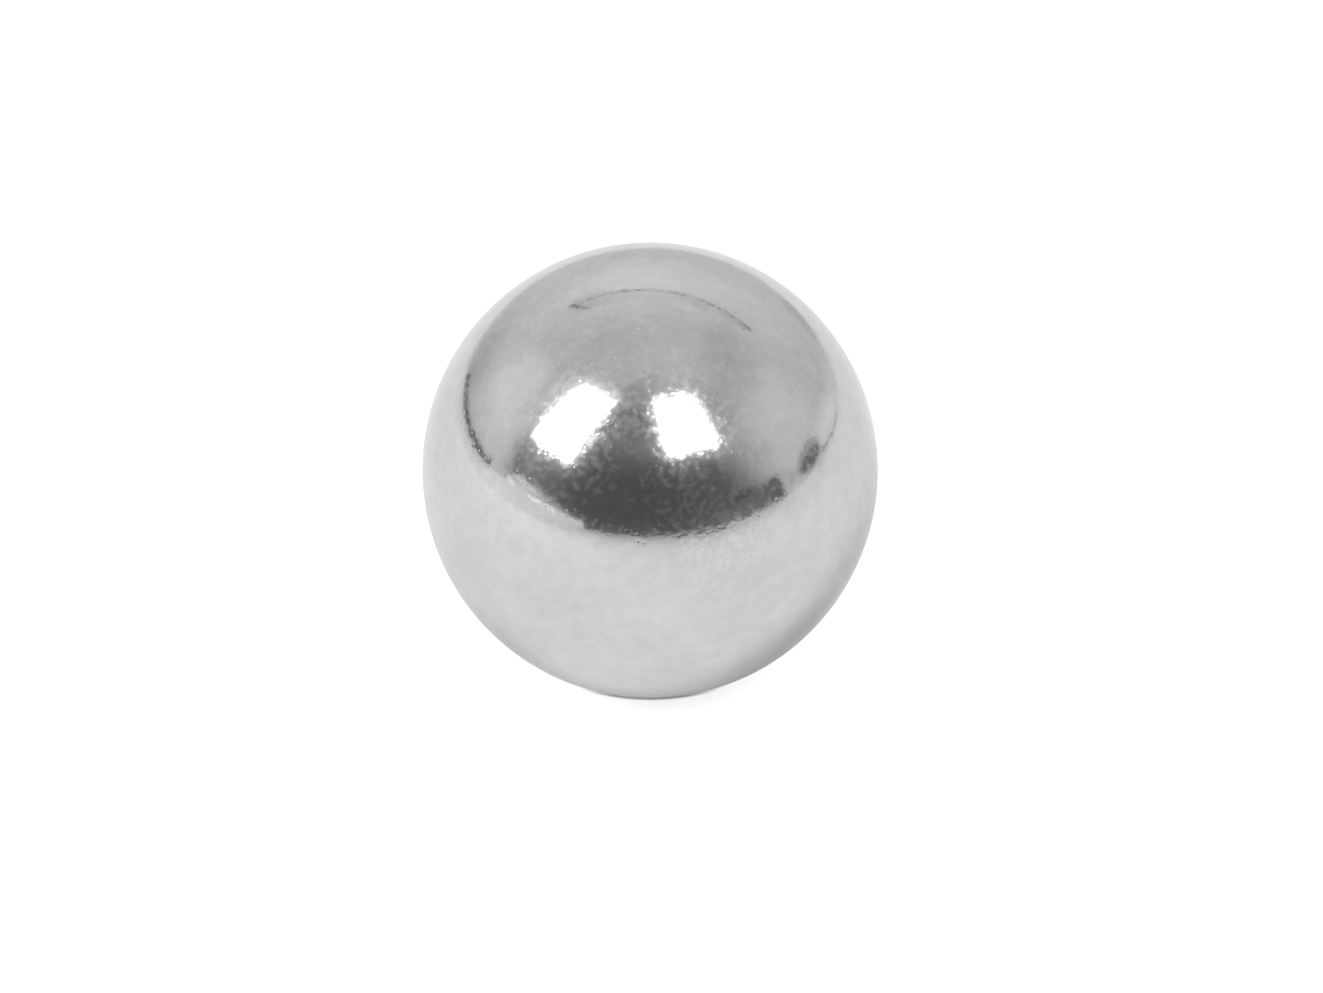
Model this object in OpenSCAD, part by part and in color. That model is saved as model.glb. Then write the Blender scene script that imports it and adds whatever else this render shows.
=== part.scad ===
// Polished steel ball.
//
// One solid piece: cold headed from steel wire, then ground and lapped round, so
// it has no flat, seam, bore or mark. The origin is the ball's centre, because a
// cup, a race or a magnet locates a ball by its centre, and +Z is up.

/* [Ball] */
// Diameter of the ball, in millimetres
ball_d = 25; // [5:0.5:60]

/* [Preview] */
// Facets round the equator when the ball is drawn as a mesh
ball_facets = 180; // [48:12:360]

/* [Hidden] */

// The whole ball. Its one true surface is a sphere about the origin.
module ball() {
    color("silver")
        sphere(d = ball_d, $fn = ball_facets);
}

ball();
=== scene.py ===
import math

import bpy
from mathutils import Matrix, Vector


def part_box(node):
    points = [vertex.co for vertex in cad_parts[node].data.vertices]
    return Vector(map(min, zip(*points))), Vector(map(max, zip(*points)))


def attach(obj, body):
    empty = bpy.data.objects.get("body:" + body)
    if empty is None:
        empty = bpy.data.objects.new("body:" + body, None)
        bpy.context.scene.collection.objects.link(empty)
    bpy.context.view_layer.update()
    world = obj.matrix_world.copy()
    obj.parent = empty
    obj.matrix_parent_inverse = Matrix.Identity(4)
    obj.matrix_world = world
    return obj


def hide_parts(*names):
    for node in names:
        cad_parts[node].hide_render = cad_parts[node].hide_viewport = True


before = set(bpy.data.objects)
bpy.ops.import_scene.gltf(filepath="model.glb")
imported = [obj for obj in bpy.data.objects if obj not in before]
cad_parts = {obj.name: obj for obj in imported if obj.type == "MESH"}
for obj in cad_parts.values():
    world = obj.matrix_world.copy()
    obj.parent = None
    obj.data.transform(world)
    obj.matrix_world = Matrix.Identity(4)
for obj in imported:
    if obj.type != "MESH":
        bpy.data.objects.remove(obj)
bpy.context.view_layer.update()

# The ball: one solid piece of hardened steel, headed from wire, ground round and
# lapped between iron plates. The mesh is an even grid of squares blown out to the
# true radius, with the slow waves, a few microns high, that lapping leaves.
low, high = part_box("ball")
ball_radius = round((high.z - low.z) / 2, 6)
halvings = 6  # of each side of the starting cube: 64 squares along a quarter of the equator
wave_height = 0.0000024
wave_length = 0.0026

bpy.ops.object.select_all(action="DESELECT")
bpy.ops.mesh.primitive_cube_add(size=2 * ball_radius)
ball = bpy.context.object
ball.name = ball.data.name = "steel_ball"

# Each side of the starting cube gets its own cell of a three by two map, so that
# the grain is drawn at the same size all over the ball.
cell_gap = 0.004
ball_map = ball.data.uv_layers[0]
ball_map.name = "OFBake"
for side in ball.data.polygons:
    column, row = side.index % 3, side.index // 3
    for corner, loop in zip(((0, 0), (1, 0), (1, 1), (0, 1)), side.loop_indices):
        across = cell_gap + corner[0] * (1 - 2 * cell_gap)
        up = cell_gap + corner[1] * (1 - 2 * cell_gap)
        ball_map.data[loop].uv = ((column + across) / 3, (row + up) / 2)

rounding = ball.modifiers.new("rounding", "SUBSURF")
rounding.levels = rounding.render_levels = halvings
grinding = ball.modifiers.new("grinding", "CAST")
grinding.cast_type = "SPHERE"
grinding.factor = 1.0
grinding.size = ball_radius
grinding.use_radius_as_size = False
waves = bpy.data.textures.new("lapping_waves", "CLOUDS")
waves.noise_scale = wave_length
waves.noise_depth = 1
lapping = ball.modifiers.new("lapping", "DISPLACE")
lapping.texture = waves
lapping.texture_coords = "LOCAL"
lapping.mid_level = 0.5
lapping.strength = 2 * wave_height
for step in ("rounding", "grinding", "lapping"):
    bpy.ops.object.modifier_apply(modifier=step)
bpy.ops.object.shade_smooth()


# Bare polished steel: a grey mirror under a thin hazy film of oxide and oil. Tumbling
# the balls against each other leaves a fine etched grain and small pits.
def put(tree, kind, inputs={}, **settings):
    """A new node. Each of its inputs takes a plain value or another node's output."""
    made = tree.nodes.new(kind)
    for name, value in settings.items():
        setattr(made, name, value)
    for name, value in inputs.items():
        if isinstance(value, bpy.types.NodeSocket):
            tree.links.new(value, made.inputs[name])
        else:
            made.inputs[name].default_value = value
    return made


def maths(tree, operation, a, b):
    """Two values put together."""
    return put(tree, "ShaderNodeMath", {0: a, 1: b}, operation=operation).outputs["Value"]


def remap(tree, value, low_in, high_in, low_out, high_out, curve="LINEAR"):
    """A value moved from one range to another, and held inside it."""
    ends = {"From Min": low_in, "From Max": high_in, "To Min": low_out, "To Max": high_out}
    moved = put(tree, "ShaderNodeMapRange", {"Value": value, **ends}, interpolation_type=curve)
    return moved.outputs["Result"]


def mix_colours(tree, share, first, second):
    """first where share is 0, second where it is 1."""
    mix = put(tree, "ShaderNodeMix", data_type="RGBA")
    for name, value in (("Factor_Float", share), ("A_Color", first), ("B_Color", second)):
        socket = next(s for s in mix.inputs if s.identifier == name)
        if isinstance(value, bpy.types.NodeSocket):
            tree.links.new(value, socket)
        else:
            socket.default_value = value
    return next(s for s in mix.outputs if s.identifier == "Result_Color")


def near(tree, centre, reach):
    """How far each point lies from centre, as a share of reach, which may differ along X, Y and Z."""
    spot = put(tree, "ShaderNodeTexCoord").outputs["Object"]
    apart = put(tree, "ShaderNodeVectorMath", {0: spot, 1: centre}, operation="SUBTRACT")
    share = put(tree, "ShaderNodeVectorMath", {0: apart.outputs["Vector"], 1: reach}, operation="DIVIDE")
    length = put(tree, "ShaderNodeVectorMath", {0: share.outputs["Vector"]}, operation="LENGTH")
    return length.outputs["Value"]


def pool(tree, centre, reach, amount, core=0.0):
    """A soft round patch: amount inside its core, a share of its reach, and nothing past its reach."""
    return remap(tree, near(tree, centre, reach), core, 1.0, amount, 0.0, "SMOOTHSTEP")


polished_steel = bpy.data.materials.new("polished_steel")
polished_steel.use_nodes = True
skin = polished_steel.node_tree
steel = skin.nodes["Principled BSDF"]
steel.inputs["IOR"].default_value = 2.5
steel.inputs["Coat Roughness"].default_value = 0.225
steel.inputs["Coat IOR"].default_value = 2.25
place = put(skin, "ShaderNodeTexCoord").outputs["Object"]


def noise(label, feature, detail, roughness=0.5):
    """Noise over the ball whose lumps are about as wide as feature, in metres."""
    sizes = {"Scale": 1 / feature, "Detail": detail, "Roughness": roughness}
    return put(skin, "ShaderNodeTexNoise", {"Vector": place, **sizes}, label=label).outputs["Fac"]


def crumbs(size):
    """Cells about this wide: the distance from each one's middle, and its chance from 0 to 1."""
    cells = put(skin, "ShaderNodeTexVoronoi", {"Vector": place, "Scale": 1 / size})
    chance = put(skin, "ShaderNodeSeparateColor", {"Color": cells.outputs["Color"]}).outputs["Red"]
    return cells.outputs["Distance"], chance


def pits(cell, widest, share):
    """Small round dents of many widths, at most one to a cell. share is how many cells have one."""
    from_middle, chance = crumbs(cell)
    width = remap(skin, chance, 1 - share, 1.0, 0.0, widest)
    from_edge = maths(skin, "DIVIDE", from_middle, maths(skin, "ADD", width, 0.0001))
    bowl = maths(skin, "MAXIMUM", maths(skin, "SUBTRACT", 1.0, from_edge), 0.0)
    return maths(skin, "MULTIPLY", maths(skin, "MULTIPLY", bowl, bowl), width)


oil_film = noise("oil film", 0.0045, 3)
smears = noise("smears in the oil", 0.0009, 4, 0.6)
worn = noise("worn and fresh patches", 0.0022, 1)
grain = noise("etched grain", 0.00034, 2)
dimples = noise("dimples", 0.00030, 1)
small_pits = maths(skin, "MULTIPLY", pits(0.0002, 0.4, 0.5), 0.6)
pitting = maths(skin, "ADD", pits(0.00036, 0.33, 0.5), small_pits)
nicks = pits(0.0003, 0.6, 0.6)

# One side has knocked against other balls, and is more dimpled and a little stained. Beside
# it is a smoother place.
knocked = pool(skin, (0.0037, -0.0118, 0.0019), (0.0038, 0.0038, 0.0038), 1.0, 0.3)
smoother = pool(skin, (-0.0024, -0.0113, 0.0048), (0.0032, 0.0032, 0.0032), 0.07, 0.2)

dimpling = maths(skin, "MULTIPLY", dimples, remap(skin, knocked, 0.0, 1.0, 0.25, 0.75))
relief = maths(skin, "SUBTRACT", dimpling, maths(skin, "ADD", pitting, nicks))
bump = put(skin, "ShaderNodeBump", {"Strength": 1.0, "Distance": 0.000010, "Height": relief})
skin.links.new(bump.outputs["Normal"], steel.inputs["Normal"])

clean_steel = (0.608, 0.605, 0.606, 1)
oiled_steel = (0.518, 0.520, 0.520, 1)
film = maths(skin, "ADD", maths(skin, "MULTIPLY", oil_film, 0.45), maths(skin, "MULTIPLY", smears, 0.55))
stains = maths(skin, "MULTIPLY", maths(skin, "SUBTRACT", grain, 0.5), knocked)
dulling = remap(skin, maths(skin, "ADD", film, stains), 0.38, 0.62, 0.0, 1.0)
tone = mix_colours(skin, dulling, clean_steel, oiled_steel)
skin.links.new(tone, steel.inputs["Base Color"])

# Each speck of the etched grain is duller, hazier and, where oxide sits in it, greyer. The
# haze thins out where the surface is seen at a slant.
etching = maths(skin, "ADD", grain, maths(skin, "MULTIPLY", worn, 0.35))
specks = remap(skin, maths(skin, "SUBTRACT", etching, smoother), 0.60, 0.86, 0.0, 1.0, "SMOOTHSTEP")
dull_pits = maths(skin, "MULTIPLY", maths(skin, "POWER", pitting, 0.5), 0.3)
gloss = maths(skin, "ADD", remap(skin, specks, 0.0, 1.0, 0.078, 0.145), dull_pits)
skin.links.new(gloss, steel.inputs["Roughness"])
slant = put(skin, "ShaderNodeLayerWeight", {"Blend": 0.5}).outputs["Facing"]
thinning = remap(skin, slant, 0.45, 0.9, 1.0, 0.15)
haze = maths(skin, "MULTIPLY", remap(skin, specks, 0.0, 1.0, 0.80, 1.0), thinning)
skin.links.new(haze, steel.inputs["Coat Weight"])
skin.links.new(remap(skin, specks, 0.0, 1.0, 1.0, 0.925), steel.inputs["Metallic"])

ball.data.materials.clear()
ball.data.materials.append(polished_steel)
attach(ball, "root")
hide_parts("ball")


# The table: a plain white sheet that the ball rests on. The lamps light it, so it
# takes the ball's shadow, and it glows a little where the tent's cloth would light it.
def plain_sheet(name, corners, material):
    """A flat sheet with these four corners, in order round it."""
    bpy.ops.object.select_all(action="DESELECT")
    bpy.ops.mesh.primitive_plane_add(size=1)
    made = bpy.context.object
    made.name = made.data.name = name
    order = (0, 1, 3, 2)  # the plane's own corners, in order round it
    for vertex, corner in zip(order, corners):
        made.data.vertices[vertex].co = corner
    made.data.materials.append(material)
    return made


foot = -ball_radius
white_sheet = bpy.data.materials.new("white_sheet")
white_sheet.cycles.emission_sampling = "NONE"  # its glow is found without being aimed at
white_sheet.use_nodes = True
sheet = white_sheet.node_tree
sheet.nodes.clear()
ray = put(sheet, "ShaderNodeLightPath").outputs

# To the eye the sheet glows white. Round the foot the glow is left out, softly, so that the
# ball's real shadow on the paper shows there as painted shade, dark close under the ball. In
# front that painted shade ends just past the oval that the ball hides from the camera, where it
# shows as a thin painted dark line.
from_foot = near(sheet, (0, 0, foot), (0.005, 0.005, 0.005))
painted_soft_shadow = remap(sheet, from_foot, 0.10, 0.84, 0.0, 0.68, "SMOOTHSTEP")
hidden_oval = near(sheet, (0, 0.0245, foot), (0.01415, 0.02828, 1))
past_oval = remap(sheet, hidden_oval, 1.003, 1.011, 0.0, 1.0)
from_contact = near(sheet, (0, -0.0012, foot), (0.0041, 0.0052, 1))
past_contact = remap(sheet, from_contact, 0.66, 1.02, 0.0, 1.0)
whiteness = maths(sheet, "MULTIPLY", painted_soft_shadow, maths(sheet, "MAXIMUM", past_oval, past_contact))
seen = maths(sheet, "MULTIPLY", ray["Is Camera Ray"], whiteness)

# In the ball it shows a painted glow, for the light that the tent's cloth would give it: brighter
# near the tent's walls and dim towards the open front, with pools of painted light and shade.
mirrored = remap(sheet, near(sheet, (0, 0, 0), (0.4, 0.4, 0.4)), 0.05, 0.8, 0.10, 0.38)
for centre, reach, amount in (
    ((0.05, -0.36, 0), (0.55, 0.36, 0.4), -0.36),  # painted shade towards the open front
    ((-0.002, -0.004, foot), (0.03, 0.03, 0.03), 0.05),  # painted light under the ball
    ((-0.40, -0.16, foot), (0.22, 0.22, 0.22), 0.18),  # painted light in the far left corner
    ((0.07, -0.05, foot), (0.13, 0.13, 0.13), 0.05),  # painted light, brighter on the right
    ((-0.13, 0.02, foot), (0.12, 0.12, 0.12), -0.07),  # and painted shade, dimmer on the left
    ((0.0095, -0.003, foot), (0.0095, 0.0095, 0.0095), -0.17),  # the two lamps' painted shadows, right
    ((-0.010, -0.003, foot), (0.0085, 0.0085, 0.0085), -0.14),  # and left
    ((0.020, 0.0, foot), (0.012, 0.012, 0.012), -0.06),  # and their painted soft ends
    ((-0.020, 0.0, foot), (0.014, 0.014, 0.014), -0.06),
):
    mirrored = maths(sheet, "ADD", mirrored, pool(sheet, centre, reach, amount))
mirrored = maths(sheet, "MULTIPLY", ray["Is Glossy Ray"], maths(sheet, "MAXIMUM", mirrored, 0.0))

glow = put(sheet, "ShaderNodeEmission", {"Strength": maths(sheet, "ADD", seen, mirrored)})
paper = put(sheet, "ShaderNodeBsdfDiffuse", {"Color": (0.8, 0.8, 0.8, 1)})
both = put(sheet, "ShaderNodeAddShader", {0: paper.outputs["BSDF"], 1: glow.outputs["Emission"]})
put(sheet, "ShaderNodeOutputMaterial", {"Surface": both.outputs["Shader"]})

table_half = 3.0
plain_sheet(
    "table",
    [(x * table_half, y * table_half, foot) for x, y in ((-1, -1), (1, -1), (1, 1), (-1, 1))],
    white_sheet,
)


# The light tent: white cloth on a frame round the table, open to the front, where the dark
# room shows. No lamp lights the cloth: it glows with painted light and shade. Only the ball's
# mirror shows it, so the view stays plain.
def lit_cloth(name, base, pools, folds=0.03, tint=(0.984, 1.0, 1.017, 1)):
    """Cloth that glows as if lit from behind, all painted light: an even base with faint painted
    folds, and soft pools, each (centre, reach, amount), of painted light where amount is above 0
    and painted shade where it is below."""
    cloth = bpy.data.materials.new(name)
    cloth.cycles.emission_sampling = "NONE"
    cloth.use_nodes = True
    tree = cloth.node_tree
    tree.nodes.clear()
    spot = put(tree, "ShaderNodeTexCoord").outputs["Object"]
    creases = put(tree, "ShaderNodeTexNoise", {"Vector": spot, "Scale": 7, "Detail": 2}).outputs["Fac"]
    light = remap(tree, creases, 0.3, 0.7, base - folds, base + folds)
    for centre, reach, amount in pools:
        light = maths(tree, "ADD", light, pool(tree, centre, reach, amount))
    lit = put(tree, "ShaderNodeEmission", {"Color": tint, "Strength": light})
    put(tree, "ShaderNodeOutputMaterial", {"Surface": lit.outputs["Emission"]})
    return cloth


def hang(name, corners, cloth):
    """A sheet that shows in the ball, and neither in the view nor as a shade on the table."""
    made = plain_sheet(name, corners, cloth)
    made.visible_camera = False
    made.visible_diffuse = False
    made.visible_shadow = False


def stand(name, start, end, cloth):
    """An upright sheet between two places, each (x, y, height of its foot, height of its top)."""
    (x0, y0, foot0, top0), (x1, y1, foot1, top1) = start, end
    hang(name, [(x0, y0, foot0), (x1, y1, foot1), (x1, y1, top1), (x0, y0, top0)], cloth)


side, back, roof = 0.45, 0.46, 0.6
left_front = -0.165  # where the left wall's cloth ends
tent_cloth = lit_cloth(
    "tent_cloth",
    0.66,
    [
        # Painted pools on the tent's cloth: light where the amount is above 0, shade where it is below.
        ((-side, 0.06, 0.25), (0.4, 0.42, 0.34), 0.26),  # painted light, as from a lamp behind the left wall
        ((-side, -0.19, 0.2), (0.3, 0.15, 0.8), -0.75),  # painted shade on its front edge, turned to the dark room
        ((side, -0.06, 0.25), (0.4, 0.36, 0.34), 0.12),  # the right wall
        ((side, -0.60, 0.1), (0.4, 0.55, 0.95), -0.56),  # painted shade on its front edge, fading into the dark
        ((side, -0.38, 0.09), (0.3, 0.2, 0.06), -0.25),  # and painted shade on its lower edge
        ((side, 0.15, 0.05), (0.2, 0.18, 0.06), 0.20),  # painted light from the table on its foot
        ((side, 0.30, 0.035), (0.2, 0.22, 0.07), 0.13),
        ((side, -0.12, 0.045), (0.1, 0.025, 0.04), -0.22),  # painted shade beside the port
        ((0, back, 0.45), (0.75, 0.3, 0.5), 0.23),  # the back wall
        ((-side, 0.36, 0.08), (0.25, 0.34, 0.17), -0.14),  # painted shade on the foot of the left back corner
        ((0.26, 0.45, 0.04), (0.13, 0.1, 0.08), -0.15),  # and of the right one
        ((0.09, -0.03, roof), (0.2, 0.2, 0.2), 0.05),  # the roof over the ball
        ((0.12, -0.42, roof), (0.5, 0.37, 0.3), -0.65),  # painted shade on its front edge
        ((-0.13, -0.22, roof), (0.2, 0.16, 0.15), -0.12),  # its left front part
        ((-0.25, -0.05, roof), (0.3, 0.3, 0.15), -0.07),
        ((0.36, -0.22, 0.57), (0.24, 0.24, 0.2), -0.14),  # its right edge, from front to back
        ((0.4, 0.02, 0.55), (0.3, 0.3, 0.25), -0.12),
        ((0.36, 0.27, roof), (0.16, 0.18, 0.12), -0.08),
        ((-side, -0.06, 0.30), (0.2, 0.12, 0.15), -0.13),  # the left wall's front part, going up
        ((-side, -0.03, 0.40), (0.2, 0.10, 0.2), -0.11),
        ((-side, 0.0, 0.58), (0.2, 0.14, 0.14), -0.08),
    ],
)

stand("left_wall", (-side, back, foot, roof), (-side, left_front, foot, roof), tent_cloth)
stand("back_wall", (-side, back, foot, roof), (side, back, foot, roof), tent_cloth)
wall_step = 0.095  # up to this height the right wall is set back from the opening
step_back = (side, back, wall_step)
right_wall_foot = [(side, -0.17, foot), (side, back, foot), step_back, (side, -0.19, wall_step)]
right_wall = [(side, -0.56, wall_step), step_back, (side, back, roof), (side, -0.60, roof)]
roof_sheet = [(-side, left_front, roof), (side, -0.60, roof), (side, back, roof), (-side, back, roof)]
hang("right_wall_foot", right_wall_foot, tent_cloth)
hang("right_wall", right_wall, tent_cloth)
hang("roof", roof_sheet, tent_cloth)
rail_left, rail_right = (-0.30, 0.45, 0.462), (0.44, 0.367, 0.495)
# The valance under the rail glows with painted light, paler in its middle.
valance_cloth = lit_cloth("valance_cloth", 0.65, [((0.0, 0.42, 0.5), (0.34, 0.3, 0.16), 0.16)])
hang("valance", [rail_left, rail_right, (0.44, 0.376, roof), (-0.274, 0.422, roof)], valance_cloth)

# The white sheet's edges, turned up a finger's width against the walls, glow near white, with
# painted light towards the left. Its front left corner stands up in a fold, painted in shade
# with painted light near its corner, and with painted highlights along its creases and lip.
white = (1, 1, 1, 1)
turned_up = 0.445  # how far out from the middle the edges turn up
edge_cloth = lit_cloth("sheet_edge", 0.92, [((-0.43, -0.08, 0.0), (0.14, 0.16, 0.2), 0.14)], 0.02, white)
fold_cloth = lit_cloth("sheet_fold", 0.35, [((-0.40, -0.17, 0.03), (0.17, 0.17, 0.12), 0.5)], 0.02)
crease_light = lit_cloth("crease_light", 1.4, [], 0.0, white)
lip_light = lit_cloth("lip_light", 1.6, [], 0.1, white)
for name, start, end, cloth in (
    ("edge_back", (-side, turned_up, foot, 0.006), (side, turned_up, foot, 0.018), edge_cloth),
    ("edge_left", (-turned_up, back, foot, 0.008), (-turned_up, 0.0, foot, 0.017), edge_cloth),
    ("edge_right", (turned_up, -0.165, foot, 0.002), (turned_up, back, foot, 0.012), edge_cloth),
    ("corner_left", (-turned_up, 0.0, foot, 0.018), (-0.364, -0.21, foot, 0.046), edge_cloth),
    ("corner_right", (0.26, -0.34, foot, -0.004), (turned_up, -0.17, foot, -0.002), edge_cloth),
    ("corner_front", (-0.364, -0.21, foot, 0.046), (-0.21, -0.34, foot, 0.007), edge_cloth),
    ("crease", (-0.400, -0.104, 0.0375, 0.0485), (-0.390, -0.1415, 0.0255, 0.0365), lip_light),
    ("lip_top", (-0.378, -0.130, 0.059, 0.064), (-0.332, -0.224, 0.044, 0.048), crease_light),
    ("lip_left", (-0.353, -0.188, 0.0225, 0.0305), (-0.313, -0.248, 0.021, 0.0295), lip_light),
    ("lip_right", (-0.313, -0.248, 0.021, 0.0295), (-0.253, -0.310, -0.001, 0.0115), lip_light),
):
    stand(name, start, end, cloth)
fold = [(-0.445, -0.10, 0.038), (-0.24, -0.33, 0.024), (-0.33, -0.255, 0.060), (-0.43, -0.145, 0.074)]
hang("corner_fold", fold, fold_cloth)


# What is dark round the tent: the room in front of the table's edge, the rail that holds the
# back cloth up and the port in the right one; and a painted shade, a dark strip along the foot
# of the left wall.
room_colour = (0.96, 1.025, 1.0, 1)
room_level = 0.096
table_front = -0.34


def dark_gap(name, level):
    """A plain surface in the room's colour, of this brightness."""
    dark = bpy.data.materials.new(name)
    dark.cycles.emission_sampling = "NONE"
    dark.use_nodes = True
    tree = dark.node_tree
    tree.nodes.clear()
    lit = put(tree, "ShaderNodeEmission", {"Color": room_colour, "Strength": level})
    put(tree, "ShaderNodeOutputMaterial", {"Surface": lit.outputs["Emission"]})
    return dark


room_dark = dark_gap("room_dark", room_level)
above = foot + 0.0005
room_floor = [(-3, -3, above), (3, -3, above), (3, table_front, above), (-3, table_front, above)]
hang("room_floor", room_floor, room_dark)
# The room's far wall glows dim, with patches of painted light on it.
painted_light_patches = [
    ((-0.08, -1, 0.88), (0.30, 1, 0.40), 0.12),  # painted light behind the camera, between the lamps
    ((-0.36, -1, 1.15), (0.30, 1, 0.75), 0.13),
    ((1.3, -1, 0.15), (1.2, 1, 0.7), 0.07),  # and far to the right
]
room_wall_glow = lit_cloth("room_wall", room_level, painted_light_patches, 0.0, room_colour)
stand("room_wall", (-2.5, -1, foot, 2.5), (2.5, -1, foot, 2.5), room_wall_glow)


def bar(name, start, end, width, material):
    """A thin strip of this width from start to end, centred on the line between them."""
    half = width / 2
    (x0, y0, z0), (x1, y1, z1) = start, end
    if abs(z1 - z0) > abs(x1 - x0):
        corners = [(x0 - half, y0, z0), (x0 + half, y0, z0), (x1 + half, y1, z1), (x1 - half, y1, z1)]
        hang(name, corners, material)
    else:
        stand(name, (x0, y0, z0 - half, z0 + half), (x1, y1, z1 - half, z1 + half), material)


half_dark = dark_gap("half_dark", 0.06)
bar("back_rail", (-0.30, 0.448, 0.462), (0.438, 0.365, 0.495), 0.017, half_dark)
bar("left_upright", (-0.298, 0.446, 0.450), (-0.276, 0.42, 0.585), 0.018, half_dark)
bar("right_upright", (0.436, 0.364, 0.485), (0.436, 0.37, 0.56), 0.018, half_dark)
# A dark strip along the foot of the left wall: painted shade.
stand("left_foot_shade", (-0.443, 0.42, 0.022, 0.045), (-0.443, -0.02, 0.020, 0.042), half_dark)
# A grey line low on the right wall.
low_line_grey = dark_gap("right_low_line", 0.24)
stand("right_low_line", (0.443, 0.06, 0.017, 0.026), (0.443, 0.26, 0.014, 0.018), low_line_grey)

# A grey card stands in the opening's left end, with painted light on it that fades towards its
# middle.
left_card = lit_cloth("left_card", room_level, [((-0.42, -0.16, 0.1), (0.24, 0.22, 0.5), 0.16)], 0.0)
stand("left_card", (-0.46, -0.13, foot, 0.5), (-0.26, -0.33, foot, 0.5), left_card)

# The port in the right wall is a hole with a grey rim, round as a plate, and a strap hangs
# beside it.
soft_grey = dark_gap("soft_grey", 0.42)
port_dark = dark_gap("port_dark", 0.13)
strap = [(0.443, -0.145, 0.0), (0.443, -0.139, 0.0), (0.443, -0.113, 0.060), (0.443, -0.120, 0.060)]
hang("strap", strap, soft_grey)
port_middle = -0.013
for name, depth, height, across, up, material in (
    ("port_rim", 0.444, 0.052, 0.074, 0.034, soft_grey),
    ("port_hole", 0.443, 0.039, 0.067, 0.022, port_dark),
):
    bpy.ops.object.select_all(action="DESELECT")
    bpy.ops.mesh.primitive_circle_add(vertices=48, radius=1, fill_type="NGON")
    port = bpy.context.object
    port.name = port.data.name = name
    for vertex in port.data.vertices:
        rise = vertex.co.y if vertex.co.y > 0 else -abs(vertex.co.y) ** 0.6  # flatter below
        lean = 0.005 * vertex.co.x
        vertex.co = (depth, vertex.co.x * across + port_middle, height + rise * up + lean)
    port.data.materials.append(material)
    port.visible_camera = port.visible_diffuse = port.visible_shadow = False


# The lamps: two soft boxes on stands in front of the tent's opening, one to each
# side of the camera, aimed down at the table. Each is two lamps, one just behind the
# other: the front one is its bright face in the ball, and the back one lights the table.
lamps = {
    "left_softbox": ((-0.1742, -0.1157, 0.2153), (76.5, 12.4, -35.4), (0.1225, 0.192), 0.50, 0.80),
    "right_softbox": ((0.0798, -0.1623, 0.2387), (78, -5.6, 12.4), (0.114, 0.175), 0.30, 0.69),
}
for name, (position, turn, size, plain_watts, face_watts) in lamps.items():
    for part, watts, nearness in (("light", plain_watts, 1.0), ("face", face_watts, 0.995)):
        place_of_lamp = [nearness * x for x in position]
        turn_of_lamp = [math.radians(angle) for angle in turn]
        bpy.ops.object.light_add(type="AREA", location=place_of_lamp, rotation=turn_of_lamp)
        lamp = bpy.context.object
        lamp.name = name + "_" + part
        lamp.data.shape = "RECTANGLE"
        lamp.data.size, lamp.data.size_y = size
        lamp.data.energy = watts
        lamp.visible_camera = False
        lamp.visible_diffuse = part == "light"
        lamp.visible_glossy = part == "face"

# The air round the table is white to the camera, dark in the ball, and lights the
# table softly from all sides.
world = bpy.data.worlds.new("studio")
bpy.context.scene.world = world
world.cycles.sampling_method = "NONE"
world.use_nodes = True
sky = world.node_tree
air = sky.nodes["Background"]
fill = 0.6
ray = put(sky, "ShaderNodeLightPath").outputs
white_seen = maths(sky, "MULTIPLY", ray["Is Camera Ray"], 1.0 - fill)
dark_mirrored = maths(sky, "MULTIPLY", ray["Is Glossy Ray"], room_level - fill)
sky.links.new(maths(sky, "ADD", maths(sky, "ADD", white_seen, dark_mirrored), fill), air.inputs["Strength"])
sky.links.new(mix_colours(sky, ray["Is Glossy Ray"], (1, 1, 1, 1), room_colour), air.inputs["Color"])

# The camera: a long lens about 200 mm from the ball, looking down at it. It aims a little
# past the ball's middle, so that the ball stands left of the view's middle and above it.
bpy.ops.object.camera_add()
camera = bpy.context.object
camera.name = "camera"
camera.data.lens = 100
camera.data.sensor_width = 36
camera.data.clip_start = 0.01
camera.data.clip_end = 10
distance, height_angle = 0.2019, math.radians(30.2)
camera.location = (0, -distance * math.cos(height_angle), distance * math.sin(height_angle))
aim_right, aim_down = math.radians(0.204), math.radians(0.412)
camera.rotation_euler = (math.pi / 2 - height_angle - aim_down, 0, -aim_right)
bpy.context.scene.camera = camera
bpy.context.scene.view_settings.view_transform = "Standard"
